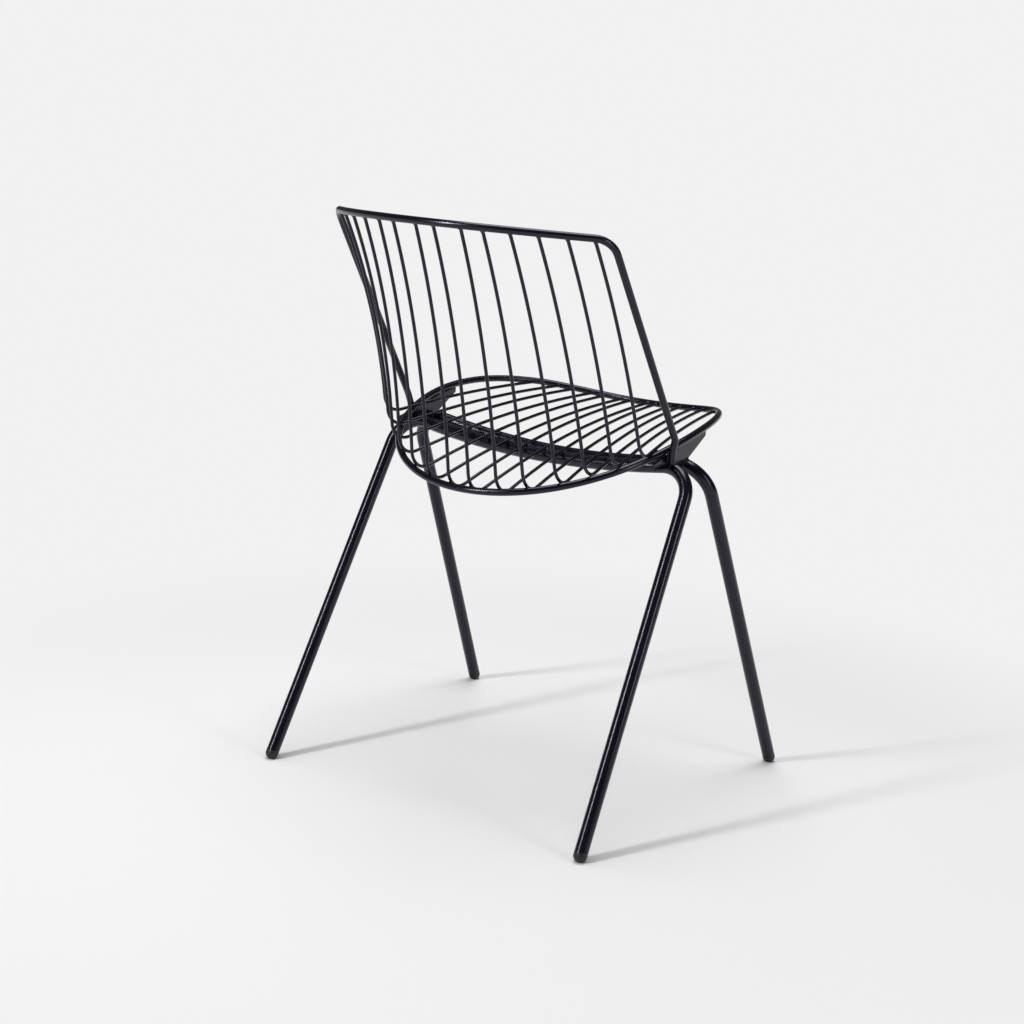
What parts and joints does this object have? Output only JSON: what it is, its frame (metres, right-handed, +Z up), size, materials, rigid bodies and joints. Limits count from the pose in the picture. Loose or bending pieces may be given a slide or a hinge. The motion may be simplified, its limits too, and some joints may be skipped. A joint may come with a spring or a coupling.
{
  "type": "wire mesh chair",
  "caption": "Steel wire chair: lengthwise bent wires form the seat and back between a rod hoop and a rod rim, on splayed legs of bent tube.",
  "frame": {"origin": "on the floor, in the middle of the chair's outline", "axes": "+Z up, -Y towards the front of the chair, +X towards the sitter's left"},
  "size_m": [0.5248, 0.5282, 0.7381],
  "materials": {
    "frame_coating": "satin black powder coat",
    "rod_coating": "satin black powder coat",
    "wire_coating": "satin black powder coat",
    "glide_nylon": "moulded black nylon"
  },
  "bodies": {
    "root": {"rear_leg_tube": "frame_coating", "front_leg_tube": "frame_coating", "side_plate_left": "frame_coating", "side_plate_right": "frame_coating", "seat_hoop": "rod_coating", "back_rim": "rod_coating", "mesh_wire_left_1": "wire_coating", "mesh_wire_right_1": "wire_coating", "mesh_wire_left_2": "wire_coating", "mesh_wire_right_2": "wire_coating", "mesh_wire_left_3": "wire_coating", "mesh_wire_right_3": "wire_coating", "mesh_wire_left_4": "wire_coating", "mesh_wire_right_4": "wire_coating", "mesh_wire_left_5": "wire_coating", "mesh_wire_right_5": "wire_coating", "mesh_wire_left_6": "wire_coating", "mesh_wire_right_6": "wire_coating", "mesh_wire_left_7": "wire_coating", "mesh_wire_right_7": "wire_coating", "glide_rear_left": "glide_nylon", "glide_rear_right": "glide_nylon", "glide_front_left": "glide_nylon", "glide_front_right": "glide_nylon"}
  },
  "joints": []
}
